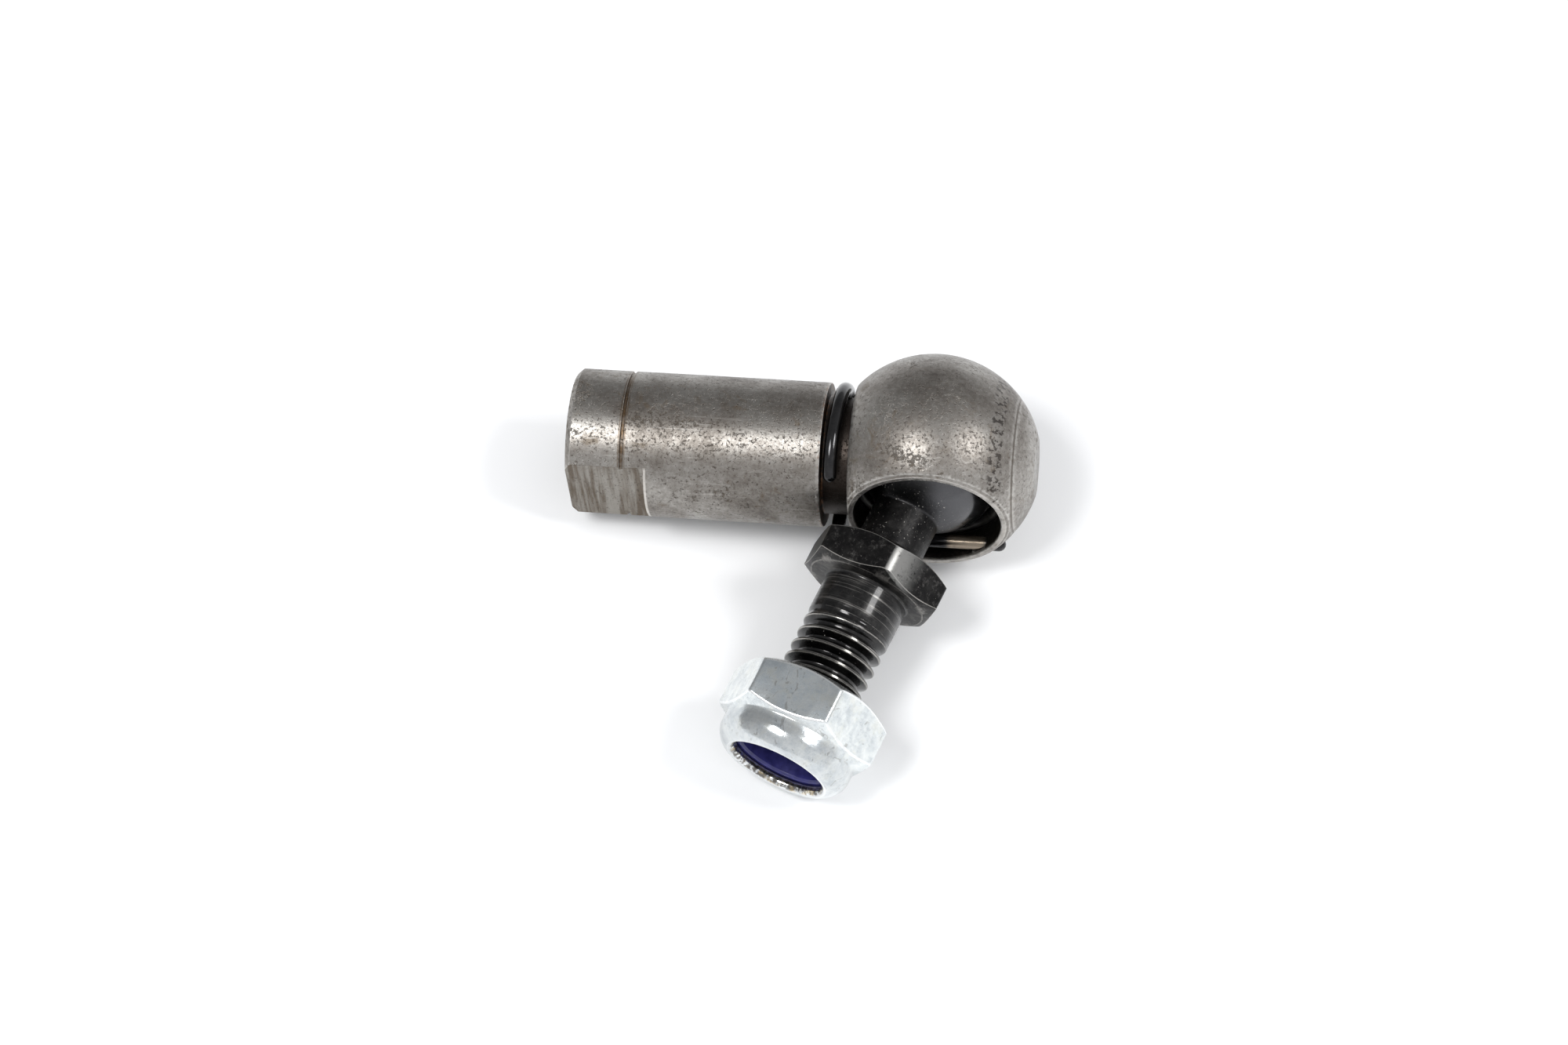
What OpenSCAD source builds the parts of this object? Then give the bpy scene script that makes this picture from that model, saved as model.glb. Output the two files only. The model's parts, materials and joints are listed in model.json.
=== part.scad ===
// Angled rod end: a ball stud turning in a steel ball socket, with a wire
// safety catch round the socket neck and a self-locking nut on the stud.
// Origin at the ball centre. The shank runs along -X with its thread mouth
// facing -X, and the socket opens towards -Y. All sizes are in millimetres.

/* [Ball and socket] */
// Ball diameter
ball_d = 10; // [9.9:0.01:10]
// Shank diameter
shank_d = 10; // [9.6:0.1:10.4]
// Ball centre to the shank's end face
shank_reach = 25; // [24:0.5:32]
// Diameter of the round head
head_d = 14.8; // [14.7:0.05:15]
// Ball centre to the flat face round the opening
opening_depth = 4.9; // [4.85:0.01:5]
// Diameter of the opening and of the bore behind it
bore_d = 10.16; // [10.12:0.01:10.2]
// Ball centre to the flat nose of the head
nose_reach = 7.1; // [6.6:0.1:7.3]
// Width across the two wrench flats on the shank
shank_flats = 8; // [7.5:0.1:9]
// Length of the wrench flats
flats_length = 5.5; // [4:0.5:8]
// Depth of the full thread in the shank
shank_thread_depth = 12; // [9:0.5:13]

/* [Stud] */
// Lean of the stud away from the socket's bore axis, in degrees
stud_lean = 21.5; // [10:0.5:24]
// Turn of that lean about the bore axis, in degrees
stud_turn = -21.9; // [-22:0.1:20]
// Diameter of the neck between ball and collar
neck_d = 4.7; // [4.2:0.1:4.8]
// Width across flats of the hexagonal collar
collar_flats = 9; // [8.5:0.1:9.4]
// Thickness of the collar
collar_thick = 2.7; // [2:0.1:2.8]
// Ball centre to the collar's bearing face
collar_reach = 10.8; // [10.7:0.1:11.5]
// Outside diameter of the stud thread
thread_d = 6; // [5.9:0.01:6]
// Ball centre to the stud's end
stud_reach = 22.5; // [21:0.5:23]

/* [Lock nut] */
// Ball centre to the nut's bearing face, along the stud
nut_reach = 18.9; // [16:0.1:19]
// Width across flats of the nut
nut_flats = 10; // [9.8:0.1:10.5]
// Height of the nut over its rounded collar
nut_height = 6; // [5.9:0.1:6.4]

/* [Safety catch] */
// Wire diameter
catch_wire = 0.98; // [0.9:0.01:0.98]
// Middle of the wire ring, measured from the ball centre along the shank
catch_reach = 6.66; // [6.6:0.01:6.7]

/* [Hidden] */
smooth = 96;
eps = 0.01;
tan30 = tan(30);

// socket
shank_r = shank_d / 2;
head_r = head_d / 2;
bore_r = bore_d / 2;
seat_r = ball_d / 2 + 0.05;
groove_near = 5.43;
groove_far = 7.35;
neck_r = 4.05;
end_chamfer = 0.35;
rim_chamfer = 0.12;
scribe_from_end = 3.95;
scribe_w = 0.28;
scribe_depth = 0.14;
tap_r = 2.5;
mouth_r = 3.15;
drill_point = 1.4;

// internal wire ring
ring_wire_r = 0.4;
ring_mid_r = 4.95;
ring_depth = 2.3;
ring_gap = 26;
ring_side_play = 0.08;
ring_room_r = 5.43;

// stud
ball_r = ball_d / 2;
stud_neck_r = neck_d / 2;
collar_near = collar_reach - collar_thick;
collar_corner_r = collar_flats / 2 / cos(30);
collar_face_r = 4.35;
collar_spin = 46.6;
neck_blend = 0.75;
thread_r = thread_d / 2;
thread_chamfer = 0.6;

// nut, heights measured from its bearing face
nut_corner_r = nut_flats / 2 / cos(30);
nut_face_r = 4.7;
nut_spin = 37.2;
nut_collar_r = 4.78;
nut_shoulder = 3.15;
nut_bore_r = thread_r + 0.02;
pocket_floor = 3.6;
pocket_top = 5.26;
pocket_r = 4.02;
lip_r = 3.25;
lip_round = 0.62;
mouth_chamfer = 0.35;

// nylon ring, with a little room inside the nut's pocket
insert_r = pocket_r - 0.03;
insert_bore_r = thread_r + 0.03;
insert_low = pocket_floor + 0.03;
insert_high = pocket_top - 0.06;

// safety catch: ring round the neck, then a leg across the opening
wire_r = catch_wire / 2;
straight_r = wire_r - eps;
wire_lap = 0.05;
catch_mid_r = neck_r + 0.06 + wire_r;
leg_out = 5.556;
leg_angle = -42.45;
bend_r = 1;
catch_start = 40;
leg_side = sqrt(leg_out * leg_out - catch_mid_r * catch_mid_r);
catch_end = leg_angle + 360 - atan(leg_side / catch_mid_r);
leg_tip = 5.35;
leg_hole_r = wire_r + 0.05;

steel_grey = [0.45, 0.43, 0.4];
black_oxide = [0.1, 0.1, 0.11];
zinc = [0.75, 0.78, 0.8];
nylon_blue = [0.08, 0.08, 0.3];
spring_steel = [0.3, 0.3, 0.31];

// turns a shape drawn along +Z so that it runs along the leaning stud
module along_stud() {
    rotate([0, stud_turn, 0])
        rotate([0, 0, -stud_lean])
            rotate([90, 0, 0])
                children();
}

// turns a shape drawn along +Z so that it runs along +X
module along_shank() {
    rotate([0, 90, 0])
        children();
}

// a solid of revolution standing on z = 0, cut to a hexagon
module hex_body(corner_r, height, spin) {
    intersection() {
        rotate([0, 0, spin])
            cylinder(r = corner_r, h = height, $fn = 6);
        children();
    }
}

module socket_outside() {
    // shank with a chamfered end
    translate([-shank_reach, 0, 0])
        along_shank()
            rotate_extrude($fn = smooth)
                polygon([
                    [0, 0],
                    [shank_r - end_chamfer, 0],
                    [shank_r, end_chamfer],
                    [shank_r, shank_reach - groove_far],
                    [0, shank_reach - groove_far]
                ]);
    // neck under the wire ring
    translate([-groove_far - eps, 0, 0])
        along_shank()
            cylinder(r = neck_r, h = groove_far - groove_near + 2 * eps, $fn = smooth);
    // round head, cut flat at the groove, the nose and the opening
    intersection() {
        sphere(r = head_r, $fn = smooth);
        translate([-groove_near, -opening_depth, -head_d])
            cube([groove_near + nose_reach, opening_depth + head_d, 2 * head_d]);
    }
}

module socket_bore() {
    rotate([90, 0, 0]) {
        cylinder(r = bore_r, h = head_d, $fn = smooth);
        // room for the wire ring
        translate([0, 0, ring_depth - ring_wire_r - ring_side_play])
            cylinder(r = ring_room_r, h = 2 * (ring_wire_r + ring_side_play), $fn = smooth);
        // broken edge at the opening
        translate([0, 0, opening_depth - rim_chamfer])
            cylinder(r1 = bore_r, r2 = bore_r + 2 * rim_chamfer, h = 2 * rim_chamfer,
                $fn = smooth);
    }
    sphere(r = seat_r, $fn = smooth);
}

module shank_thread_hole() {
    translate([-shank_reach, 0, 0])
        along_shank() {
            translate([0, 0, -eps])
                cylinder(r = tap_r, h = shank_thread_depth + eps, $fn = smooth);
            translate([0, 0, shank_thread_depth - eps])
                cylinder(r1 = tap_r, r2 = 0, h = drill_point, $fn = smooth);
            translate([0, 0, -eps])
                cylinder(r1 = mouth_r, r2 = tap_r, h = mouth_r - tap_r, $fn = smooth);
        }
}

module shank_flats_cut() {
    for (side = [-1, 1])
        translate([
            -shank_reach - 1,
            side * (shank_flats / 2 + shank_r) - shank_r,
            -shank_r - 1
        ])
            cube([flats_length + 1, shank_d, shank_d + 2]);
}

module scribed_ring() {
    translate([-shank_reach + scribe_from_end - scribe_w / 2, 0, 0])
        along_shank()
            difference() {
                cylinder(r = shank_r + 1, h = scribe_w, $fn = smooth);
                translate([0, 0, -1])
                    cylinder(r = shank_r - scribe_depth, h = scribe_w + 2, $fn = smooth);
            }
}

module ball_socket() {
    color(steel_grey)
        difference() {
            socket_outside();
            socket_bore();
            shank_thread_hole();
            shank_flats_cut();
            scribed_ring();
            // holes that hold the leg of the catch
            translate([
                -head_r,
                -leg_out * cos(leg_angle),
                leg_out * sin(leg_angle)
            ])
                along_shank()
                    cylinder(r = leg_hole_r, h = head_d, $fn = 48);
        }
}

module snap_ring() {
    color(spring_steel)
        rotate([90, 0, 0])
            translate([0, 0, ring_depth])
                rotate([0, 0, ring_gap / 2])
                    rotate_extrude(angle = 360 - ring_gap, $fn = smooth)
                        translate([ring_mid_r, 0])
                            circle(r = ring_wire_r, $fn = 32);
}

// quarter or part turn of the catch wire about the local Z axis
module wire_arc(mid_r, turn) {
    rotate_extrude(angle = turn, $fn = smooth)
        translate([mid_r, 0])
            circle(r = wire_r, $fn = 32);
}

// straight wire along +Z that runs a little way into the bends at its ends
module wire_straight(length) {
    translate([0, 0, -wire_lap])
        cylinder(r = straight_r, h = length + 2 * wire_lap, $fn = 48);
}

module safety_catch() {
    straight = leg_side - bend_r;
    leg_length = catch_reach - bend_r + leg_tip - straight_r;
    color(black_oxide)
        rotate([90, 0, -90]) {
            translate([0, 0, catch_reach])
                rotate([0, 0, catch_start]) {
                    wire_arc(catch_mid_r, catch_end - catch_start);
                    // rounded free end
                    translate([catch_mid_r, 0, 0])
                        sphere(r = straight_r, $fn = 48);
                }
            rotate([0, 0, catch_end])
                translate([catch_mid_r, 0, 0]) {
                    translate([0, 0, catch_reach])
                        rotate([-90, 0, 0])
                            wire_straight(straight);
                    translate([0, straight, catch_reach - bend_r])
                        rotate([0, -90, 0])
                            wire_arc(bend_r, 90);
                    // leg across the opening, with a rounded tip
                    translate([0, leg_side, -leg_tip + straight_r]) {
                        wire_straight(leg_length);
                        translate([0, 0, -wire_lap])
                            sphere(r = straight_r - eps, $fn = 48);
                    }
                }
        }
}

module stud_collar() {
    corner_drop = (collar_corner_r - collar_face_r) * tan30;
    translate([0, 0, collar_near])
        hex_body(collar_corner_r, collar_thick, collar_spin)
            rotate_extrude($fn = smooth)
                polygon([
                    [0, 0],
                    [collar_face_r, 0],
                    [collar_corner_r + eps, corner_drop],
                    [collar_corner_r + eps, collar_thick - corner_drop],
                    [collar_face_r, collar_thick],
                    [0, collar_thick]
                ]);
}

module ball_stud() {
    color(black_oxide)
        along_stud() {
            sphere(r = ball_r, $fn = smooth);
            cylinder(r = stud_neck_r, h = collar_near + eps, $fn = smooth);
            translate([0, 0, collar_near - neck_blend])
                cylinder(r1 = stud_neck_r, r2 = stud_neck_r + neck_blend, h = neck_blend,
                    $fn = smooth);
            stud_collar();
            // shank of the stud, its thread shown at the outside diameter
            translate([0, 0, collar_reach - eps])
                rotate_extrude($fn = smooth)
                    polygon([
                        [0, 0],
                        [thread_r, 0],
                        [thread_r, stud_reach - collar_reach + eps - thread_chamfer],
                        [thread_r - thread_chamfer, stud_reach - collar_reach + eps],
                        [0, stud_reach - collar_reach + eps]
                    ]);
        }
}

// outline of the nut before its hexagon is cut
module nut_turned() {
    corner_drop = (nut_corner_r - nut_face_r) * tan30;
    shoulder_rise = (nut_corner_r - nut_collar_r) * tan30;
    crown = nut_height - lip_round;
    rotate_extrude($fn = smooth)
        polygon([
            [0, 0],
            [nut_face_r, 0],
            [nut_corner_r + eps, corner_drop],
            [nut_corner_r + eps, nut_shoulder],
            [nut_collar_r, nut_shoulder + shoulder_rise],
            [nut_collar_r, crown - lip_round],
            [nut_collar_r - lip_round / 3, crown],
            [nut_collar_r - lip_round, crown + lip_round / 2],
            [nut_collar_r - 1.6 * lip_round, nut_height],
            [lip_r + lip_round / 3, nut_height],
            [lip_r, crown + lip_round / 2],
            [0, crown + lip_round / 2]
        ]);
}

module lock_nut() {
    color(zinc)
        along_stud()
            translate([0, 0, nut_reach])
                difference() {
                    hex_body(nut_corner_r, nut_height, nut_spin)
                        nut_turned();
                    translate([0, 0, -eps])
                        cylinder(r = nut_bore_r, h = nut_height, $fn = smooth);
                    translate([0, 0, -eps])
                        cylinder(r1 = nut_bore_r + mouth_chamfer, r2 = nut_bore_r,
                            h = mouth_chamfer, $fn = smooth);
                    translate([0, 0, pocket_floor])
                        cylinder(r = pocket_r, h = pocket_top - pocket_floor, $fn = smooth);
                    translate([0, 0, pocket_top - eps])
                        cylinder(r = lip_r, h = nut_height, $fn = smooth);
                }
}

module nylon_insert() {
    color(nylon_blue)
        along_stud()
            translate([0, 0, nut_reach + insert_low])
                difference() {
                    cylinder(r = insert_r, h = insert_high - insert_low, $fn = smooth);
                    translate([0, 0, -1])
                        cylinder(r = insert_bore_r, h = nut_height, $fn = smooth);
                }
}

ball_socket();
snap_ring();
safety_catch();
ball_stud();
lock_nut();
nylon_insert();
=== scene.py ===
"""Angled ball joint rod end: looks for the pieces that the CAD frame places."""

import json
import math

import bmesh
import bpy
from mathutils import Matrix, Vector, noise


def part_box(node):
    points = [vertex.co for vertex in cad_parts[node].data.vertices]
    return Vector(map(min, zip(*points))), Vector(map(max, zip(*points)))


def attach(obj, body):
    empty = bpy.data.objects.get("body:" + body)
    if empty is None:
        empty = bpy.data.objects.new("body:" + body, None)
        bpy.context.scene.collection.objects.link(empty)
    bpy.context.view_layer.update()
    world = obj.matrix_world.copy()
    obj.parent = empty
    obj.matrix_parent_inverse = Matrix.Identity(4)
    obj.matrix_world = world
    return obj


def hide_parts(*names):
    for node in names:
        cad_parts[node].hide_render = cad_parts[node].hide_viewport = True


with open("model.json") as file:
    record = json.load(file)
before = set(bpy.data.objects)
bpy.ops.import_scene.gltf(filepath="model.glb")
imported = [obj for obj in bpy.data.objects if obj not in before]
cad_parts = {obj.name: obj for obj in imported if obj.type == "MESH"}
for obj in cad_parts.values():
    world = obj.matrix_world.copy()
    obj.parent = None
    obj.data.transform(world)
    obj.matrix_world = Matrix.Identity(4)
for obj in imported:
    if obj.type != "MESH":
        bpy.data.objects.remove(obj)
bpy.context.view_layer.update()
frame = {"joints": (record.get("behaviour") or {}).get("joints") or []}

MM = 0.001
TURN = 2 * math.pi
TAN30 = math.tan(math.radians(30))

# sizes in millimetres, read from the frame where it states them
JOINTS = {j["name"]: j for j in frame["joints"]}
STUD_AXIS = Vector(JOINTS["nut_travel"]["axis"]).normalized()
SOCKET_LOW, SOCKET_HIGH = (Vector(v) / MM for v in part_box("ball_socket"))
LEG_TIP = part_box("safety_catch")[1][0] / MM

# socket: shank, scribed ring, groove, head and wrench flats, along X
SHANK_END = SOCKET_LOW.x
NOSE = SOCKET_HIGH.x
HEAD_R = SOCKET_HIGH.z
SHANK_R = 5.0
SHANK_CHAMFER = 0.35
OPENING = 4.9
NECK_R = 4.05
GROOVE_FAR = -7.35
GROOVE_NEAR = -5.43
SCRIBE_X = SHANK_END + 3.95
SCRIBE_W = 0.28
SCRIBE_DEPTH = 0.14
CREASE_X = 5.8
FLAT_Y = 4.0
FLAT_END = SHANK_END + 5.5

# socket: bore, room for the snap ring, and the thread in the shank's end
BORE_R = 5.08
SEAT_R = 5.05
RING_DEPTH = 2.3
RING_MID_R = 4.95
RING_WIRE_R = 0.4
RING_ROOM_R = 5.43
RING_ROOM_HALF = 0.48
RING_GAP = math.radians(26)
TAP_R = 2.5
TAP_MOUTH_R = 3.15
TAP_DEPTH = 12.0
TAP_GROOVE = 0.46
DRILL_POINT = 1.4
CHIP_DEPTH = 0.16
CUT_REACH = 7
ROUND_STEPS = 192

# stud, measured along its own line from the ball's centre
BALL_R = 5.0
STUD_NECK_R = 2.35
NECK_FILLET = 0.75
COLLAR_LOW = 8.1
COLLAR_HIGH = 10.8
COLLAR_APOTHEM = 4.5
COLLAR_FACE_R = 4.35
COLLAR_SEAT_R = COLLAR_FACE_R - 0.15
COLLAR_EDGE = 0.05
COLLAR_CORNER_R = 0.3
COLLAR_WORN_R = 1.15
COLLAR_SPIN = 46.6
SHANK_FILLET = 0.18
THREAD_R = 3.0
THREAD_START = 13.6
THREAD_RUN_IN = 1.6
THREAD_DEPTH = 0.6
THREAD_PHASE = 0.52
PITCH = 1.0
STUD_END = 22.5
STUD_CHAMFER = 0.6
STUD_TIP_R = 2.38

# nut and its nylon ring, measured along the stud from the nut's lower face
NUT_LOW = 18.9
NUT_APOTHEM = 5.0
NUT_FACE_R = 4.7
NUT_SPIN = 37.2
NUT_SHOULDER = 3.15
NUT_COLLAR_R = 4.77
NUT_TOP = 5.99
NUT_CORNER_R = 0.36
NUT_EDGE = 0.13
CROWN_LOW = 4.6
CROWN_R = 3.62
CROWN_POWER = 1.15
NUT_BORE_R = 3.02
POCKET_LOW = 3.6
POCKET_HIGH = 5.26
POCKET_R = 4.02
INSERT_LOW = 3.64
INSERT_HIGH = 5.19
INSERT_R = 3.98
INSERT_BORE_R = 3.04

# safety catch wire: a ring in the groove, then a leg across the opening
WIRE_R = 0.488
CATCH_X = -6.66
CATCH_MID_R = 4.6
CATCH_START = math.radians(40)
CATCH_LEAN = 0.3
CATCH_LEAN_FROM, CATCH_LEAN_OVER = 48, 45
CATCH_SEAM = 89
LEG_OUT = 5.556
LEG_ANGLE = math.radians(-42.45)
LEG_HOLE_R = 0.54
BEND_R = 1.0
LEG_SHORT = 0.15


# ---------------------------------------------------------------- geometry
def stud_frame():
    """Carries +Z to the stud's own line."""
    lean = math.acos(-STUD_AXIS.y)
    turn = math.atan2(STUD_AXIS.z, -STUD_AXIS.x)
    side = Vector((
        math.cos(lean) * math.cos(turn), -math.sin(lean), -math.cos(lean) * math.sin(turn)
    ))
    across = Vector((math.sin(turn), 0, math.cos(turn)))
    return Matrix((side, across, STUD_AXIS)).transposed().to_4x4()


ALONG_STUD = stud_frame()
ALONG_SHANK = Matrix(((0, 0, 1), (1, 0, 0), (0, 1, 0))).to_4x4()
ALONG_BORE = Matrix(((1, 0, 0), (0, 0, -1), (0, 1, 0))).to_4x4()


class Skin:
    """Collects vertices and faces, in millimetres, and makes one mesh object."""

    def __init__(self):
        self.verts, self.faces = [], []

    def add(self, verts, faces):
        start = len(self.verts)
        self.verts += verts
        self.faces += [tuple(start + i for i in f) for f in faces]

    def rows(self, rows, angles, closed=False):
        """Skin through rows; row(angle) gives (r, z), and r = 0 makes a pole."""
        verts, faces, rings = [], [], []
        for row in rows:
            points = [row(a) for a in angles]
            pole = all(p[0] < 1e-6 for p in points)
            rings.append((len(verts), pole))
            if pole:
                verts.append(Vector((0, 0, points[0][1])))
            else:
                verts += [
                    Vector((r * math.cos(a), r * math.sin(a), z))
                    for (r, z), a in zip(points, angles)
                ]
        count = len(angles)
        pairs = list(zip(rings, rings[1:] + rings[:1] if closed else rings[1:]))
        for (a, pole_a), (b, pole_b) in pairs:
            for k in range(count):
                n = (k + 1) % count
                if pole_a:
                    faces.append((a, b + n, b + k))
                elif pole_b:
                    faces.append((a + k, a + n, b))
                else:
                    faces.append((a + k, a + n, b + n, b + k))
        self.add(verts, faces)

    def helix(self, low, high, radius_at, count, per_pitch, phase=0.0):
        """Skin whose rows climb one pitch per turn, ending in flat rings."""
        verts, faces, index = [], [], {}

        def vertex(col, z):
            z = min(max(z, low), high)
            key = (col % count, round(z, 5))
            if key not in index:
                a = TURN * (col % count) / count
                r = radius_at(a, z)
                index[key] = len(verts)
                verts.append(Vector((r * math.cos(a), r * math.sin(a), z)))
            return index[key]

        step = PITCH / per_pitch
        base = math.floor(low / PITCH) * PITCH - 2 * PITCH - phase * PITCH
        for col in range(count):
            rises = [PITCH * c / count for c in (col, col + 1)]
            for row in range(int((high - base) / step) + per_pitch):
                z = base + row * step
                corners = [
                    vertex(col, z + rises[0]),
                    vertex(col + 1, z + rises[1]),
                    vertex(col + 1, z + step + rises[1]),
                    vertex(col, z + step + rises[0]),
                ]
                loop = [v for i, v in enumerate(corners) if v != corners[i - 1]]
                if len(loop) >= 3 and len(set(loop)) == len(loop):
                    faces.append(tuple(loop))
        self.add(verts, faces)

    def build(self, name, matrix=Matrix.Identity(4)):
        mesh = bpy.data.meshes.new(name)
        mesh.from_pydata([(matrix @ v) * MM for v in self.verts], [], self.faces)
        bm = bmesh.new()
        bm.from_mesh(mesh)
        bmesh.ops.remove_doubles(bm, verts=bm.verts, dist=2e-7)
        bmesh.ops.recalc_face_normals(bm, faces=bm.faces)
        bm.to_mesh(mesh)
        bm.free()
        obj = bpy.data.objects.new(name, mesh)
        bpy.context.scene.collection.objects.link(obj)
        return obj


def rounded(corners, steps=4):
    """Outline of (z, r, radius) corners with each corner rounded off."""
    out = []
    for i, (z, r, radius) in enumerate(corners):
        if radius <= 0 or i in (0, len(corners) - 1):
            out.append((z, r))
            continue
        here = Vector((z, r))
        before = Vector(corners[i - 1][:2]) - here
        after = Vector(corners[i + 1][:2]) - here
        half = before.angle(after) / 2
        cut = min(radius / math.tan(half), 0.45 * before.length, 0.45 * after.length)
        start = here + before.normalized() * cut
        stop = here + after.normalized() * cut
        for k in range(steps + 1):
            t = k / steps
            p = start.lerp(here, t).lerp(here.lerp(stop, t), t)
            out.append((p.x, p.y))
    return out


def plain_rows(outline, chip=None):
    """Row functions for a turned outline; chip(z, r, a) may change its radius."""
    def row(z, r):
        return lambda a: (r if chip is None else r + chip(z, r, a), z)
    return [row(z, r) for z, r in outline]


def even_angles(count):
    return [TURN * k / count for k in range(count)]


def arc(centre, radius, start, stop, steps):
    """(z, r, 0) corners on a circle, angles measured from +z."""
    return [
        (
            centre[0] + radius * math.cos(start + (stop - start) * k / steps),
            centre[1] + radius * math.sin(start + (stop - start) * k / steps),
            0,
        )
        for k in range(steps + 1)
    ]


def hexagon(spin, apothem, corner, worn=None):
    """Radius of a hexagon with rounded corners, and angles that suit it.

    The corner at the spin angle can be worn to a larger radius.
    """
    spin = math.radians(spin)
    sixth = math.pi / 3
    offsets = [0, 0.4, 0.8, 1.2, 1.6, 2, 2.6, 3.2, 4, 4.8, 5.6, 6.6, 8, 11, 14, 18, 22, 26, 30]
    near = [math.radians(v) for v in offsets]
    angles = []
    for side in range(6):
        start = spin + side * sixth
        angles += [start + v for v in near] + [start + sixth - v for v in near[-2:0:-1]]

    def radius(a):
        local = abs((a - spin) % sixth - sixth / 2)
        nearest = round((a - spin) / sixth) % 6
        bend = worn if worn is not None and nearest == 0 else corner
        inner = apothem - bend
        if apothem * math.tan(local) <= inner * TAN30:
            return apothem / math.cos(local)
        off = sixth / 2 - local
        reach = inner / math.cos(sixth / 2)
        return reach * math.cos(off) + math.sqrt(bend**2 - (reach * math.sin(off)) ** 2)

    return radius, angles


def ripple(x, y, z, size, seed=0.0):
    """Smooth noise from -1 to 1 with bumps of about that size."""
    return noise.noise(Vector((x / size + seed, y / size - seed, z / size + 2 * seed)))


def cut(obj, tool):
    """Takes the tool's shape out of obj."""
    mod = obj.modifiers.new("cut", "BOOLEAN")
    mod.operation = "DIFFERENCE"
    mod.solver = "EXACT"
    mod.object = tool
    graph = bpy.context.evaluated_depsgraph_get()
    mesh = bpy.data.meshes.new_from_object(obj.evaluated_get(graph))
    old = obj.data
    obj.modifiers.clear()
    obj.data = mesh
    bpy.data.meshes.remove(old)
    bpy.data.objects.remove(tool)


def block(low, high):
    skin = Skin()
    ends = (low, high)
    verts = [
        Vector((ends[i][0], ends[j][1], ends[k][2]))
        for i in (0, 1) for j in (0, 1) for k in (0, 1)
    ]
    skin.add(verts, [
        (0, 1, 3, 2), (4, 6, 7, 5), (0, 4, 5, 1), (2, 3, 7, 6), (0, 2, 6, 4), (1, 5, 7, 3)
    ])
    return skin.build("tool_block")


WEAR_ANGLE = math.radians(22)
WEAR_AREA = 0.06 * MM * MM


def finish_mesh(obj, crease=38):
    """Marks worn convex edges, then shades smooth except over sharp creases.

    Wear is full where an edge turns by the wear angle, and none on large faces.
    """
    mesh = obj.data
    bm = bmesh.new()
    bm.from_mesh(mesh)
    bm.normal_update()
    layer = bm.loops.layers.float.new("wear")
    sharpness = {}
    for v in bm.verts:
        turns = [
            e.calc_face_angle(0.0) for e in v.link_edges
            if len(e.link_faces) == 2 and e.is_convex
        ]
        sharpness[v] = min(1.0, max(turns, default=0.0) / WEAR_ANGLE)
    for f in bm.faces:
        small = f.calc_area() < WEAR_AREA
        for loop in f.loops:
            loop[layer] = sharpness[loop.vert] if small else 0.0
    bm.to_mesh(mesh)
    bm.free()
    mesh.shade_smooth()
    mesh.set_sharp_from_angle(angle=math.radians(crease))
    mod = obj.modifiers.new("weighted", "WEIGHTED_NORMAL")
    mod.keep_sharp = True


def sweep(name, path, radius_at, sides=28):
    """Round wire along a path of points, closed at both ends."""
    count = len(path)
    tangents = [
        (path[min(i + 1, count - 1)] - path[max(i - 1, 0)]).normalized()
        for i in range(count)
    ]
    side = tangents[0].orthogonal().normalized()
    verts, faces = [], []
    for i, (point, tangent) in enumerate(zip(path, tangents)):
        side = (side - tangent * side.dot(tangent)).normalized()
        up = tangent.cross(side)
        for k in range(sides):
            a = TURN * k / sides
            r = radius_at(i, a)
            verts.append(point + (side * math.cos(a) + up * math.sin(a)) * r)
    for i in range(count - 1):
        for k in range(sides):
            n = (k + 1) % sides
            a, b = i * sides, (i + 1) * sides
            faces.append((a + k, a + n, b + n, b + k))
    faces.append(tuple(range(sides)))
    faces.append(tuple(range((count - 1) * sides, count * sides)))
    skin = Skin()
    skin.add(verts, faces)
    return skin.build(name)


def cap_ends(path, radius, steps=7):
    """Adds closely spaced points at both ends, and the radius at each point."""
    first = (path[1] - path[0]).normalized()
    last = (path[-1] - path[-2]).normalized()
    head, tail, radii_head, radii_tail = [], [], [], []
    for k in range(steps):
        a = math.pi / 2 * (1 - k / steps) * 0.97
        head.append(path[0] - first * radius * math.sin(a))
        radii_head.append(radius * math.cos(a))
        tail.append(path[-1] + last * radius * math.sin(a))
        radii_tail.append(radius * math.cos(a))
    return (
        head + path + tail[::-1],
        radii_head + [radius] * len(path) + radii_tail[::-1],
    )


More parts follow.
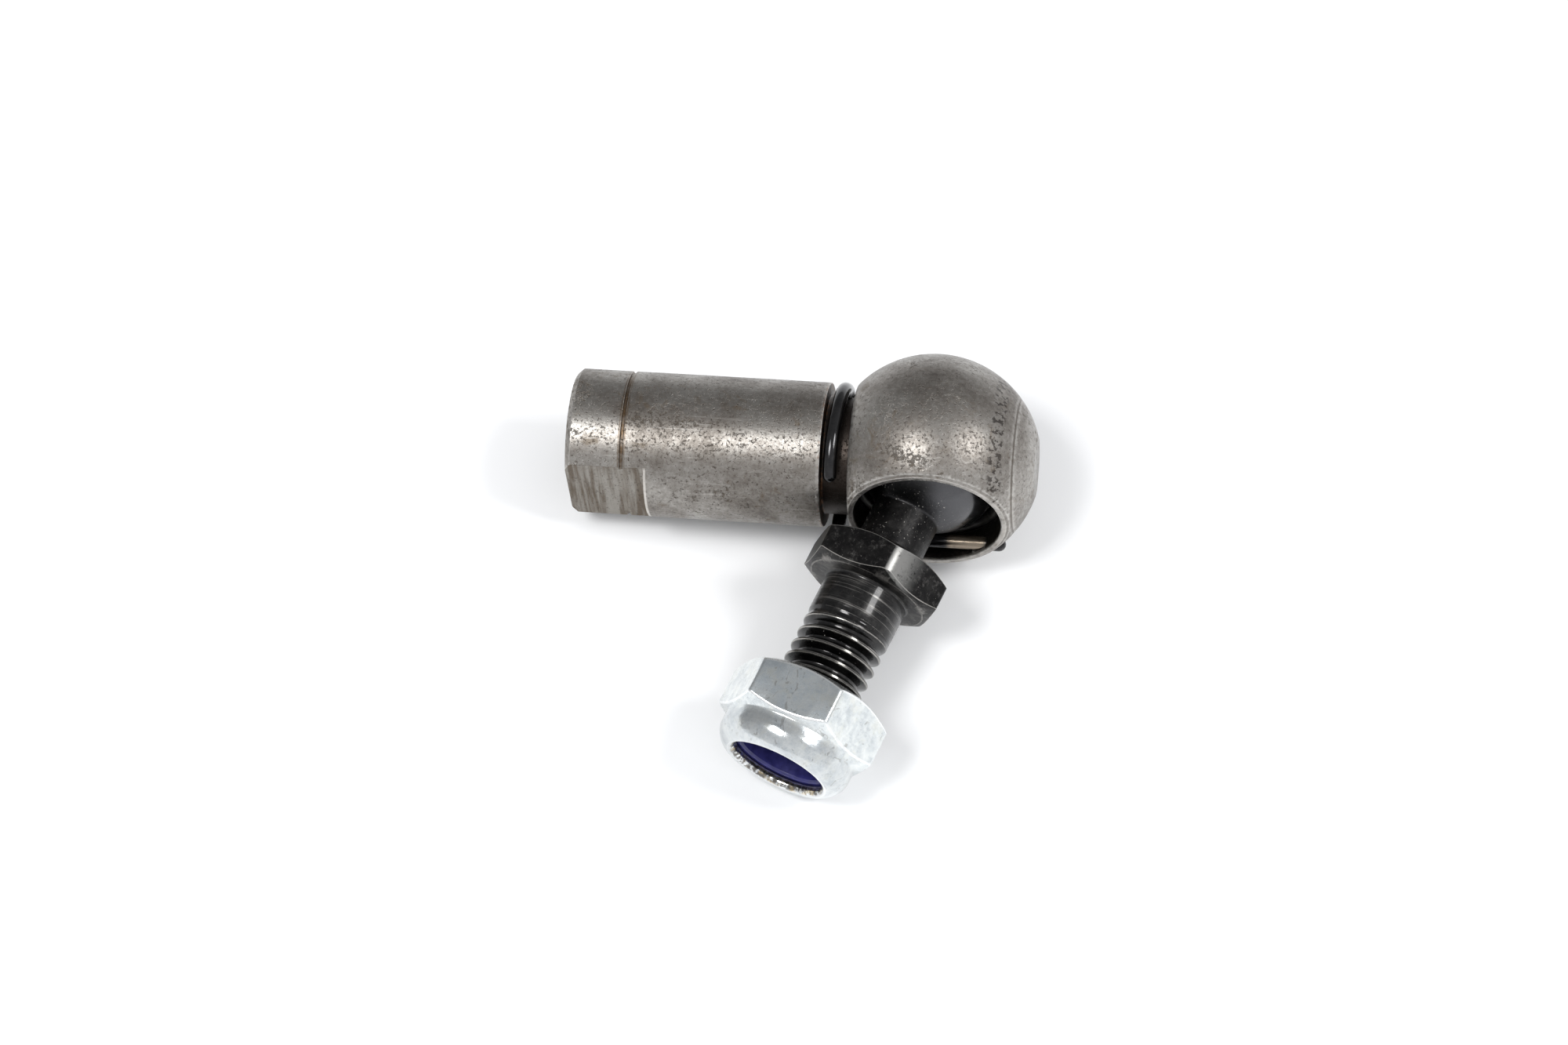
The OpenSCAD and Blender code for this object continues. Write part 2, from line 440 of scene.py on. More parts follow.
# ------------------------------------------------------------------ pieces
def build_socket():
    """Turned body with the bore, flats, thread and holes cut in it."""
    skin = Skin()
    angles = even_angles(ROUND_STEPS)
    thread_end = SHANK_END + TAP_DEPTH

    def tapped(a, z):
        phase = (z / PITCH - a / TURN) % 1.0
        groove = min(1.0, max(0.0, 1.55 - 3.1 * abs(phase - 0.5)))
        fade = min(1.0, max(0.0, (thread_end - 0.3 - z) / PITCH))
        mouth = TAP_MOUTH_R - (z - SHANK_END)
        return max(mouth, TAP_R + TAP_GROOVE * groove * fade)

    skin.helix(SHANK_END, thread_end, tapped, ROUND_STEPS, 10)
    skin.rows(plain_rows([(thread_end + DRILL_POINT, 0), (thread_end, TAP_R)]), angles)

    head_start = math.acos(GROOVE_NEAR / HEAD_R)
    head_stop = math.acos(NOSE / HEAD_R)
    crease = math.acos(CREASE_X / HEAD_R)
    scribe = (SCRIBE_X - SCRIBE_W / 2, SCRIBE_X + SCRIBE_W / 2)
    corners = [
        (SHANK_END, TAP_MOUTH_R, 0),
        (SHANK_END, SHANK_R - SHANK_CHAMFER, 0.1),
        (SHANK_END + SHANK_CHAMFER, SHANK_R, 0.15),
        (scribe[0], SHANK_R, 0.04),
        (scribe[0] + 0.05, SHANK_R - SCRIBE_DEPTH, 0.03),
        (scribe[1] - 0.05, SHANK_R - SCRIBE_DEPTH, 0.03),
        (scribe[1], SHANK_R, 0.04),
    ]
    spans = 12
    for k in range(1, spans):
        corners.append((scribe[1] + (GROOVE_FAR - scribe[1]) * k / spans, SHANK_R, 0))
    corners += [
        (GROOVE_FAR - 0.25, SHANK_R, 0),
        (GROOVE_FAR, SHANK_R, 0.08),
        (GROOVE_FAR, NECK_R, 0.12),
        (GROOVE_NEAR, NECK_R, 0.12),
        (GROOVE_NEAR, HEAD_R * math.sin(head_start), 0.12),
    ]
    corners += arc((0, 0), HEAD_R, head_start - 0.03, crease + 0.02, 52)
    corners += [(CREASE_X, HEAD_R * math.sin(crease) - 0.05, 0)]
    corners += arc((0, 0), HEAD_R, crease - 0.02, head_stop + 0.012, 9)
    corners += [(NOSE, HEAD_R * math.sin(head_stop), 0.1), (NOSE, 1.0, 0), (NOSE, 0, 0)]

    def chip(z, r, a):
        """Small knocks on the two edges of the wire groove."""
        if r <= 4.9:
            return 0.0
        near_edge = max(0.0, 1 - abs(z - GROOVE_NEAR) / 0.25, 1 - abs(z - GROOVE_FAR) / 0.2)
        knock = max(0.0, ripple(z, 5 * math.cos(a), 5 * math.sin(a), 0.45, 3.0) - 0.1)
        return -CHIP_DEPTH * near_edge * knock

    skin.rows(plain_rows(rounded(corners), chip), angles)
    socket = skin.build("ball_socket_body", ALONG_SHANK)

    cut(socket, mouth_cutter())
    for side in (-1, 1):
        low, high = sorted((side * FLAT_Y, side * CUT_REACH))
        cut(socket, block((SHANK_END - 1, low, -CUT_REACH), (FLAT_END, high, CUT_REACH)))
    drill = Skin()
    start, stop = -CUT_REACH, CUT_REACH + 1
    drill.rows(
        plain_rows([(start, 0), (start, LEG_HOLE_R), (stop, LEG_HOLE_R), (stop, 0)]),
        even_angles(32),
    )
    leg = Vector((0, -LEG_OUT * math.cos(LEG_ANGLE), LEG_OUT * math.sin(LEG_ANGLE)))
    cut(socket, drill.build("tool_hole", Matrix.Translation(leg) @ ALONG_SHANK))
    finish_mesh(socket)
    return socket


def mouth_cutter():
    """The ball's seat, the bore, the snap ring's room and the flat opening."""
    tool = Skin()
    rim_out = math.sqrt(HEAD_R**2 - OPENING**2)
    ring_low, ring_high = RING_DEPTH - RING_ROOM_HALF, RING_DEPTH + RING_ROOM_HALF
    mouth = [(-SEAT_R, 0, 0)]
    mouth += arc((0, 0), SEAT_R, math.pi - 0.05, math.pi / 2 + 0.02, 28)
    mouth += [
        (0.12, BORE_R, 0),
        (ring_low, BORE_R, 0.03),
        (ring_low, RING_ROOM_R, 0.06),
        (ring_high, RING_ROOM_R, 0.06),
        (ring_high, BORE_R, 0.03),
        (OPENING - 0.6, BORE_R, 0),
        (OPENING, BORE_R, 0.13),
        (OPENING, rim_out - 0.11, 0.12),
        (OPENING - 0.13, rim_out + 0.03, 0),
        (OPENING - 0.2, rim_out + 0.25, 0),
        (OPENING + 3, rim_out + 0.25, 0),
        (OPENING + 3, 0, 0),
    ]
    tool.rows(plain_rows(rounded(mouth)), even_angles(176))
    return tool.build("tool_mouth", ALONG_BORE)


def build_snap_ring():
    """Split spring ring that keeps the ball in the bore."""
    steps = 150
    span = TURN - RING_GAP - 2 * RING_WIRE_R / RING_MID_R
    start = RING_GAP / 2 + RING_WIRE_R / RING_MID_R
    path = []
    for k in range(steps + 1):
        a = start + span * k / steps
        path.append(Vector((
            RING_MID_R * math.cos(a), -RING_DEPTH, RING_MID_R * math.sin(a)
        )))
    path, radii = cap_ends(path, RING_WIRE_R * 0.99)
    ring = sweep("snap_ring_wire", path, lambda i, a: radii[i], 20)
    finish_mesh(ring)
    return ring


def catch_path():
    """Middle line of the catch wire: ring, straight, bend and leg."""
    side = math.sqrt(LEG_OUT**2 - CATCH_MID_R**2)
    end = LEG_ANGLE + TURN - math.atan(side / CATCH_MID_R)

    def polar(r, angle, x):
        return Vector((x, -r * math.cos(angle), r * math.sin(angle)))

    path = []
    steps = 150
    for k in range(steps + 1):
        a = CATCH_START + (end - CATCH_START) * k / steps
        lean = min(1.0, max(0.0, (math.degrees(a) - CATCH_LEAN_FROM) / CATCH_LEAN_OVER))
        path.append(polar(CATCH_MID_R, a, CATCH_X + CATCH_LEAN * lean * math.sin(a / 2) ** 2))
    tangent = Vector((0, math.sin(end), math.cos(end)))
    last = path[-1]
    straight, straight_steps = side - BEND_R, 7
    for k in range(1, straight_steps + 1):
        path.append(last + tangent * straight * k / straight_steps)
    bend, bend_steps = Vector((BEND_R, 0, 0)), 16
    corner = path[-1] + bend
    for k in range(1, bend_steps + 1):
        a = math.pi / 2 * k / bend_steps
        path.append(corner + tangent * BEND_R * math.sin(a) - bend * math.cos(a))
    start, leg_steps = path[-1], 49
    reach = LEG_TIP - LEG_SHORT - WIRE_R - start.x
    for k in range(1, leg_steps + 1):
        path.append(start + Vector((reach * k / leg_steps, 0, 0)))
    return path


def build_catch():
    """Spring wire that clips round the socket neck."""
    path, radii = cap_ends(catch_path(), WIRE_R)

    def radius(i, a):
        p = path[i]
        seam = math.degrees(math.atan2(p.z, -p.y)) - CATCH_SEAM
        ridge = 0.03 * math.exp(-((seam / 1.6) ** 2)) if p.x < GROOVE_NEAR else 0.0
        return radii[i] * (1 + ridge - 0.018 * abs(ripple(p.x, p.y, p.z + a, 0.6)))

    catch = sweep("safety_catch_wire", path, radius)
    finish_mesh(catch, 60)
    return catch


def thread_cut(a, z):
    """Depth of the stud's thread below its crest, in millimetres."""
    phase = (z / PITCH - a / TURN + THREAD_PHASE) % 1.0
    off = abs(phase - 0.5) * 2
    slope = min(1.0, max(0.0, (off - 0.14) / 0.68))
    run_in = min(1.0, max(0.0, (z - THREAD_START) / (THREAD_RUN_IN * PITCH)))
    return THREAD_DEPTH * (slope * 0.85 + 0.15 * slope * slope * (3 - 2 * slope)) * run_in


def build_stud():
    """Ball, neck, hexagonal collar and threaded shank in one piece."""
    skin = Skin()
    hex_r, angles = hexagon(COLLAR_SPIN, COLLAR_APOTHEM, COLLAR_CORNER_R, COLLAR_WORN_R)
    ring = even_angles(ROUND_STEPS)
    ball_end = math.acos(math.sqrt(BALL_R**2 - STUD_NECK_R**2) / BALL_R)
    corners = [(-BALL_R, 0, 0)]
    corners += arc((0, 0), BALL_R, math.pi - 0.03, ball_end + 0.06, 70)
    corners += [
        (math.sqrt(BALL_R**2 - STUD_NECK_R**2), STUD_NECK_R, 0.35),
        (5.2, STUD_NECK_R, 0),
        (6.2, STUD_NECK_R, 0),
        (COLLAR_LOW - NECK_FILLET, STUD_NECK_R, 0),
    ]
    flare = STUD_NECK_R + NECK_FILLET
    corners += arc((COLLAR_LOW - NECK_FILLET, flare), NECK_FILLET, -math.pi / 2, 0, 8)[1:]
    skin.rows(plain_rows(rounded(corners)), ring)
    strip_between(skin, ring, flare, angles, COLLAR_FACE_R - 0.04, COLLAR_LOW)

    def bevel(a, face_r=COLLAR_FACE_R):
        return (hex_r(a) - face_r) * TAN30

    def knocked(z, dr):
        """A row that strays inward a little, as a worn edge does."""
        def at(a):
            x, y = 5 * math.cos(a), 5 * math.sin(a)
            k = 0.35 + 0.65 * abs(ripple(x, y, z(a), 0.5, 1.7))
            return hex_r(a) + dr * k, z(a)
        return at

    def seat_edge(a):
        return COLLAR_HIGH - bevel(a, COLLAR_SEAT_R)

    rows = [
        lambda a: (COLLAR_FACE_R - 0.04, COLLAR_LOW),
        lambda a: (COLLAR_FACE_R + 0.03, COLLAR_LOW + 0.02),
        lambda a: (hex_r(a) - 0.06, COLLAR_LOW + bevel(a) - 0.035),
        knocked(lambda a: COLLAR_LOW + bevel(a), -0.02),
        knocked(lambda a: COLLAR_LOW + bevel(a) + COLLAR_EDGE, -0.006),
        lambda a: (hex_r(a), (COLLAR_LOW + COLLAR_HIGH) / 2),
        knocked(lambda a: seat_edge(a) - COLLAR_EDGE, -0.006),
        knocked(seat_edge, -0.02),
        lambda a: (hex_r(a) - 0.06, seat_edge(a) + 0.035),
        lambda a: (COLLAR_SEAT_R + 0.05, COLLAR_HIGH - 0.03),
        lambda a: (COLLAR_SEAT_R - 0.06, COLLAR_HIGH),
    ]
    skin.rows(rows, angles)
    foot = THREAD_R + SHANK_FILLET
    strip_between(skin, ring, foot, angles, COLLAR_SEAT_R - 0.06, COLLAR_HIGH)
    shank = arc((COLLAR_HIGH + SHANK_FILLET, foot), SHANK_FILLET, math.pi, math.pi * 1.5, 4)
    shank += [(11.6, THREAD_R, 0), (12.2, THREAD_R, 0), (THREAD_START, THREAD_R, 0)]
    skin.rows(plain_rows(rounded(shank)), ring)

    def threaded(a, z):
        r = THREAD_R - thread_cut(a, z)
        point = THREAD_R - max(0.0, z - (STUD_END - STUD_CHAMFER))
        return min(r, max(point, THREAD_R - THREAD_DEPTH)) if z < STUD_END else STUD_TIP_R

    skin.helix(THREAD_START, STUD_END, threaded, ROUND_STEPS, 20, THREAD_PHASE)
    tip = [
        (STUD_END, STUD_TIP_R), (STUD_END - 0.02, STUD_TIP_R - 0.08),
        (STUD_END - 0.02, 0.9), (STUD_END - 0.3, 0.0),
    ]
    skin.rows(plain_rows(tip), ring)
    stud = skin.build("ball_stud_body", ALONG_STUD)
    finish_mesh(stud)
    return stud


def strip_between(skin, ring_a, r_a, ring_b, r_b, z):
    """Flat annulus between two circles whose points stand at other angles."""
    verts = [Vector((r_a * math.cos(a), r_a * math.sin(a), z)) for a in ring_a]
    verts += [Vector((r_b * math.cos(a), r_b * math.sin(a), z)) for a in ring_b]
    na, nb = len(ring_a), len(ring_b)
    first = min(range(nb), key=lambda k: (ring_b[k] - ring_a[0]) % TURN)
    faces, i, j = [], 0, 0
    while i < na or j < nb:
        at_a = ring_a[0] + TURN * (i + 1) / na
        b_next = first + j + 1
        at_b = (ring_b[b_next % nb] - ring_a[0]) % TURN
        if j + 1 >= nb:
            at_b += TURN
        here_a, here_b = i % na, na + (first + j) % nb
        if j >= nb or (i < na and at_a <= at_b):
            faces.append((here_a, (i + 1) % na, here_b))
            i += 1
        else:
            faces.append((here_a, na + b_next % nb, here_b))
            j += 1
    skin.add(verts, faces)


def build_nut():
    """Hexagon nut with a rounded collar rolled in over the nylon ring."""
    skin = Skin()
    hex_r, angles = hexagon(NUT_SPIN, NUT_APOTHEM, NUT_CORNER_R)
    corner_r = NUT_APOTHEM / math.cos(math.pi / 6)

    def bevel(a):
        return (hex_r(a) - NUT_FACE_R) * TAN30

    def shoulder(a):
        return NUT_SHOULDER + (corner_r - hex_r(a)) * TAN30

    collar_z = NUT_SHOULDER + (corner_r - NUT_COLLAR_R) * TAN30
    rows = plain_rows([
        (POCKET_LOW, NUT_BORE_R), (3.0, NUT_BORE_R), (1.2, NUT_BORE_R),
        (0.4, NUT_BORE_R), (0.32, NUT_BORE_R + 0.03), (0.03, NUT_BORE_R + 0.32),
        (0.0, NUT_BORE_R + 0.37),
    ])
    rows += [
        lambda a: (NUT_FACE_R - 0.08, 0.0),
        lambda a: (NUT_FACE_R + 0.03, 0.03),
        lambda a: (hex_r(a) - 0.14, bevel(a) - 0.08),
        lambda a: (hex_r(a) - 0.055, bevel(a) - 0.018),
        lambda a: (hex_r(a) - 0.014, bevel(a) + 0.045),
        lambda a: (hex_r(a), bevel(a) + NUT_EDGE),
        lambda a: (hex_r(a), 1.7),
        lambda a: (hex_r(a), shoulder(a) - NUT_EDGE),
        lambda a: (hex_r(a) - 0.014, shoulder(a) - 0.045),
        lambda a: (hex_r(a) - 0.055, shoulder(a) + 0.018),
        lambda a: (hex_r(a) - 0.14, shoulder(a) + 0.075),
    ]
    rows += plain_rows([
        (collar_z - 0.02, NUT_COLLAR_R + 0.06), (collar_z + 0.04, NUT_COLLAR_R + 0.012),
        (collar_z + 0.12, NUT_COLLAR_R),
    ])
    crown_steps = 12
    for k in range(crown_steps + 1):
        t = math.pi / 2 * k / crown_steps
        r = CROWN_R + (NUT_COLLAR_R - CROWN_R) * max(0.0, math.cos(t)) ** CROWN_POWER
        z = CROWN_LOW + (NUT_TOP - CROWN_LOW) * math.sin(t) ** CROWN_POWER
        rows += plain_rows([(z, r)])

    def lip(r, z, amount):
        """Rolled lip whose edge is torn a little where it was formed."""
        def at(a):
            x, y = 3.3 * math.cos(a), 3.3 * math.sin(a)
            torn = ripple(x, y, 0, 0.35, 5.0) + 0.6 * ripple(x, y, 0, 0.16, 9.0)
            return r + 0.07 * amount * torn, z - 0.06 * amount * abs(torn)
        return at

    rows += [
        lip(3.58, NUT_TOP - 0.01, 0.1), lip(3.47, NUT_TOP - 0.06, 0.3),
        lip(3.38, NUT_TOP - 0.16, 0.6), lip(3.32, NUT_TOP - 0.28, 1.0),
        lip(3.29, NUT_TOP - 0.42, 1.0), lip(3.32, NUT_TOP - 0.55, 0.8),
        lip(3.38, POCKET_HIGH + 0.03, 0.3),
    ]
    rows += plain_rows([
        (POCKET_HIGH, 3.5), (POCKET_HIGH, POCKET_R - 0.1), (POCKET_HIGH - 0.1, POCKET_R),
        (POCKET_LOW + 0.05, POCKET_R), (POCKET_LOW, POCKET_R - 0.05),
    ])
    skin.rows(rows, angles, closed=True)
    low = ALONG_STUD @ Matrix.Translation((0, 0, NUT_LOW))
    nut = skin.build("lock_nut_body", low)
    finish_mesh(nut, 42)
    return nut


def build_insert():
    """Nylon ring held in the nut's collar."""
    skin = Skin()
    low, high = INSERT_LOW, INSERT_HIGH
    outline = [
        (low, INSERT_BORE_R + 0.25, 0),
        (low, INSERT_R, 0.15),
        (high - 0.4, INSERT_R, 0),
        (high, INSERT_R - 0.2, 0.3),
        (high - 0.02, INSERT_BORE_R + 0.12, 0.06),
        (high - 0.2, INSERT_BORE_R, 0.08),
        ((low + high) / 2, INSERT_BORE_R, 0),
        (low, INSERT_BORE_R, 0.08),
        (low, INSERT_BORE_R + 0.25, 0),
    ]
    skin.rows(plain_rows(rounded(outline)[:-1]), even_angles(144), closed=True)
    low_end = ALONG_STUD @ Matrix.Translation((0, 0, NUT_LOW))
    insert = skin.build("nylon_insert_ring", low_end)
    finish_mesh(insert)
    return insert


# --------------------------------------------------------------- materials
class Look:
    """A node material whose patterns are laid out in millimetres."""

    def __init__(self, name, axes=None):
        self.material = bpy.data.materials.new(name)
        self.material.use_nodes = True
        self.tree = self.material.node_tree
        self.shader = self.tree.nodes["Principled BSDF"]
        coords = self.put("ShaderNodeTexCoord")
        scaled = self.put("ShaderNodeVectorMath", operation="SCALE")
        self.tree.links.new(coords.outputs["Object"], scaled.inputs[0])
        scaled.inputs["Scale"].default_value = 1 / MM
        self.place = scaled.outputs[0]
        if axes is not None:
            turned = self.put("ShaderNodeCombineXYZ")
            for k in range(3):
                dot = self.put("ShaderNodeVectorMath", operation="DOT_PRODUCT")
                self.tree.links.new(self.place, dot.inputs[0])
                dot.inputs[1].default_value = axes.col[k].to_3d()
                self.tree.links.new(dot.outputs["Value"], turned.inputs[k])
            self.place = turned.outputs[0]
        split = self.put("ShaderNodeSeparateXYZ")
        self.tree.links.new(self.place, split.inputs[0])
        self.x, self.y, self.z = split.outputs[:3]

    def put(self, kind, **settings):
        node = self.tree.nodes.new(kind)
        for key, value in settings.items():
            setattr(node, key, value)
        return node

    def feed(self, socket, value):
        if hasattr(value, "is_linked") or isinstance(value, bpy.types.NodeSocket):
            self.tree.links.new(value, socket)
        else:
            socket.default_value = value

    def noise(self, scale, detail=4.0, rough=0.55, stretch=None, twist=0.0):
        vector = self.place
        if stretch:
            mapping = self.put("ShaderNodeMapping")
            self.feed(mapping.inputs["Vector"], vector)
            mapping.inputs["Scale"].default_value = stretch
            vector = mapping.outputs[0]
        node = self.put("ShaderNodeTexNoise")
        self.feed(node.inputs["Vector"], vector)
        node.inputs["Scale"].default_value = scale
        node.inputs["Detail"].default_value = detail
        node.inputs["Roughness"].default_value = rough
        node.inputs["Distortion"].default_value = twist
        return node.outputs[0]

    def span(self, value, low, high, out_low=0.0, out_high=1.0):
        node = self.put("ShaderNodeMapRange", interpolation_type="SMOOTHSTEP")
        for socket, v in zip(node.inputs, (value, low, high, out_low, out_high)):
            self.feed(socket, v)
        return node.outputs[0]

    def math(self, how, a, b=0.0):
        node = self.put("ShaderNodeMath", operation=how)
        self.feed(node.inputs[0], a)
        self.feed(node.inputs[1], b)
        return node.outputs[0]

    def times(self, a, b):
        return self.math("MULTIPLY", a, b)

    def band(self, value, centre, half, soft):
        """1 within half of centre, falling to 0 over soft."""
        off = self.math("ABSOLUTE", self.math("SUBTRACT", value, centre))
        return self.span(off, half, half + soft, 1.0, 0.0)

    def ramp(self, value, stops):
        node = self.put("ShaderNodeValToRGB")
        self.feed(node.inputs[0], value)
        points = node.color_ramp.elements
        while len(points) < len(stops):
            points.new(0.5)
        for point, (where, colour) in zip(points, stops):
            point.position = where
            point.color = (*colour, 1.0)
        return node.outputs[0]

    def mix(self, amount, a, b):
        node = self.put("ShaderNodeMix", data_type="RGBA")
        self.feed(node.inputs[0], amount)
        self.feed(node.inputs[6], a if not isinstance(a, tuple) else (*a, 1.0))
        self.feed(node.inputs[7], b if not isinstance(b, tuple) else (*b, 1.0))
        return node.outputs[2]

    def tint(self, colour, mask, amount, shade):
        return self.mix(self.times(mask, amount), colour, shade)

    def blend(self, amount, a, b):
        node = self.put("ShaderNodeMix", data_type="FLOAT")
        self.feed(node.inputs[0], amount)
        self.feed(node.inputs[2], a)
        self.feed(node.inputs[3], b)
        return node.outputs[0]

    def length(self, a, b):
        squares = self.math("ADD", self.times(a, a), self.times(b, b))
        return self.math("SQRT", squares)

    def toward(self, degrees):
        """Distance out from the local Z line in one direction."""
        a = math.radians(degrees)
        return self.math(
            "ADD", self.times(self.x, math.cos(a)), self.times(self.y, math.sin(a))
        )

    def wear(self):
        node = self.put("ShaderNodeAttribute", attribute_name="wear")
        return node.outputs["Fac"]

    def bump(self, height, strength, distance, before=None):
        node = self.put("ShaderNodeBump")
        node.inputs["Strength"].default_value = strength
        node.inputs["Distance"].default_value = distance * MM
        self.feed(node.inputs["Height"], height)
        if before is not None:
            self.feed(node.inputs["Normal"], before)
        return node.outputs[0]

    def surface(self, colour, rough, metal, normal=None, **more):
        self.feed(self.shader.inputs["Base Color"], colour)
        self.feed(self.shader.inputs["Roughness"], rough)
        self.feed(self.shader.inputs["Metallic"], metal)
        if normal is not None:
            self.feed(self.shader.inputs["Normal"], normal)
        for key, value in more.items():
            self.feed(self.shader.inputs[key.replace("_", " ")], value)
        return self.material


STEEL_SHADES = [
    (0.34, (0.095, 0.083, 0.072)), (0.45, (0.185, 0.168, 0.15)),
    (0.55, (0.27, 0.255, 0.235)), (0.68, (0.40, 0.385, 0.36)),
]
OIL_SPECK = (0.05, 0.038, 0.03)
BROWN_STAIN = (0.13, 0.095, 0.06)
FINE_SCRATCH = (0.5, 0.48, 0.45)
CORROSION = (0.10, 0.08, 0.06)
SCRIBE_DIRT = (0.085, 0.05, 0.022)
CREASE_DARK = (0.08, 0.065, 0.05)
GROOVE_DARK = (0.022, 0.016, 0.013)
EDGE_RUST = (0.16, 0.075, 0.03)
DARK_STROKE = (0.035, 0.028, 0.024)
FLAT_BROWN = (0.095, 0.072, 0.05)
FLAT_GREY = (0.25, 0.235, 0.21)
FLAT_SPECK = (0.06, 0.045, 0.035)
BRIGHT_RIM = (0.62, 0.59, 0.55)
BORE_DARK = (0.018, 0.015, 0.012)
WORN_STEEL = (0.62, 0.60, 0.57)
STROKES_X = 4.7


def socket_steel():
    """Plain steel gone grey and brown with handling, oil and age."""
    look = Look("socket_steel")
    broad = look.noise(0.22, 5, 0.6, twist=0.4)
    fine = look.noise(2.9, 7, 0.78)
    mottle = look.math("ADD", look.times(broad, 0.55), look.times(fine, 0.45))
    colour = look.ramp(mottle, STEEL_SHADES)
    speck = look.span(look.noise(5.2, 4, 0.68), 0.545, 0.66)
    colour = look.tint(colour, speck, 0.75, OIL_SPECK)
    stain = look.span(look.noise(0.42, 6, 0.72, twist=1.2), 0.56, 0.7)
    colour = look.tint(colour, stain, 0.6, BROWN_STAIN)

    # fine scratches along the shank
    scratch = look.span(look.noise(1.0, 4, 0.65, stretch=(0.22, 4.5, 4.5)), 0.6, 0.68)
    colour = look.tint(colour, scratch, 0.28, FINE_SCRATCH)

    # corroded patches with a rough floor
    patch = look.span(look.noise(0.3, 2, 0.5, twist=0.6), 0.6, 0.66)
    pitted = look.times(patch, look.span(look.noise(3.2, 5, 0.7), 0.5, 0.62))
    colour = look.tint(colour, pitted, 0.7, CORROSION)

    # dirt in the scribed ring; the turning crease and the wire groove are tinted darker
    scribe = look.band(look.x, SCRIBE_X, 0.12, 0.22)
    dirt = look.times(scribe, look.span(look.noise(1.1, 4, 0.6), 0.25, 0.6, 0.35, 1.0))
    colour = look.mix(dirt, colour, SCRIBE_DIRT)
    crease = look.band(look.x, CREASE_X, 0.02, 0.09)
    colour = look.tint(colour, crease, 0.75, CREASE_DARK)
    groove = look.band(look.x, (GROOVE_FAR + GROOVE_NEAR) / 2, 0.93, 0.1)
    colour = look.tint(colour, groove, 0.92, GROOVE_DARK)
    rust = look.times(
        look.band(look.x, GROOVE_FAR, 0.08, 0.1), look.span(look.noise(2.0, 5), 0.45, 0.6)
    )
    colour = look.tint(colour, rust, 0.8, EDGE_RUST)

    # short dark strokes round the head, left by the turning tool
    strokes = look.span(look.noise(1.0, 3, 0.6, stretch=(1.3, 3.3, 3.3)), 0.53, 0.565)
    strokes = look.times(strokes, look.band(look.x, STROKES_X, 0.3, 0.25))
    colour = look.tint(colour, strokes, 0.9, DARK_STROKE)

    # milled flats carry brown bands across the shank
    depth = look.math("ABSOLUTE", look.y)
    on_flat = look.times(
        look.band(depth, FLAT_Y, 0.015, 0.02), look.math("LESS_THAN", look.x, FLAT_END)
    )
    bands = look.noise(1.0, 3, 0.6, stretch=(2.1, 0.1, 0.16), twist=0.25)
    bands = look.span(bands, 0.36, 0.64)
    flat_colour = look.mix(bands, FLAT_BROWN, FLAT_GREY)
    flat_colour = look.tint(flat_colour, speck, 0.5, FLAT_SPECK)
    colour = look.tint(colour, on_flat, 0.9, flat_colour)

    # bright edges: the end of each flat, and the face round the opening
    step = look.times(
        look.band(look.x, FLAT_END + 0.07, 0.06, 0.06), look.span(depth, 3.9, 4.05)
    )
    rim = look.band(look.y, -OPENING, 0.02, 0.03)
    rim = look.times(rim, look.math("GREATER_THAN", look.x, GROOVE_NEAR - 0.15))
    rim = look.times(rim, look.span(look.noise(1.3, 5, 0.7), 0.38, 0.55, 0.15, 1.0))
    bright = look.math("MAXIMUM", look.times(step, 0.8), look.times(rim, 0.55))
    colour = look.mix(bright, colour, BRIGHT_RIM)

    # the bore is tinted dark
    reach = look.length(look.x, look.z)
    bore = look.times(
        look.span(reach, BORE_R + 0.45, BORE_R + 0.5, 1.0, 0.0),
        look.span(look.y, 0.15 - OPENING, 0.3 - OPENING)
    )
    inside = look.span(look.length(reach, look.y), HEAD_R - 0.25, HEAD_R - 0.1, 1.0, 0.0)
    bore = look.times(bore, inside)
    colour = look.tint(colour, bore, 0.92, BORE_DARK)

    worn = look.times(look.wear(), look.span(look.noise(3.0, 3), 0.35, 0.6, 0.4, 1.0))
    colour = look.tint(colour, worn, 0.7, WORN_STEEL)

    rough = look.span(mottle, 0.32, 0.66, 0.46, 0.31)
    rough = look.blend(look.math("MAXIMUM", look.times(stain, 0.6), pitted), rough, 0.62)
    rough = look.blend(groove, rough, 0.4)
    turning = look.noise(1.0, 3, 0.6, stretch=(9.0, 0.12, 0.12))
    grain = look.noise(9.0, 4, 0.7)
    dents = look.noise(1.4, 3, 0.5)
    normal = look.bump(turning, 0.10, 0.02)
    normal = look.bump(grain, 0.4, 0.02, normal)
    normal = look.bump(dents, 0.2, 0.05, normal)
    pits = look.math("MAXIMUM", pitted, look.times(speck, 0.5))
    pits = look.math("SUBTRACT", 1.0, look.math("MAXIMUM", pits, strokes))
    normal = look.bump(pits, 0.6, 0.05, normal)
    mill = look.times(look.noise(1.0, 2, 0.5, stretch=(7.0, 0.05, 0.15)), on_flat)
    normal = look.bump(mill, 0.35, 0.04, normal)
    return look.surface(colour, rough, 0.96, normal)


OXIDE_SHADES = [
    (0.3, (0.006, 0.006, 0.0065)), (0.5, (0.014, 0.0135, 0.0135)),
    (0.72, (0.032, 0.031, 0.03)),
]
BALL_GREY = (0.085, 0.085, 0.09)
# near-black used for the painted shade on the ball
BALL_SHADE_BLACK = (0.006, 0.006, 0.006)
OXIDE_RUBBED = (0.115, 0.11, 0.105)
OXIDE_EDGE = (0.46, 0.44, 0.41)
FACET_RUBBED = (0.36, 0.355, 0.34)
DUST = (0.52, 0.50, 0.46)
TURNED_RING = (0.26, 0.25, 0.235)
# side of the neck whose ball carries the painted shade, in degrees
SHADE_SIDE = 130


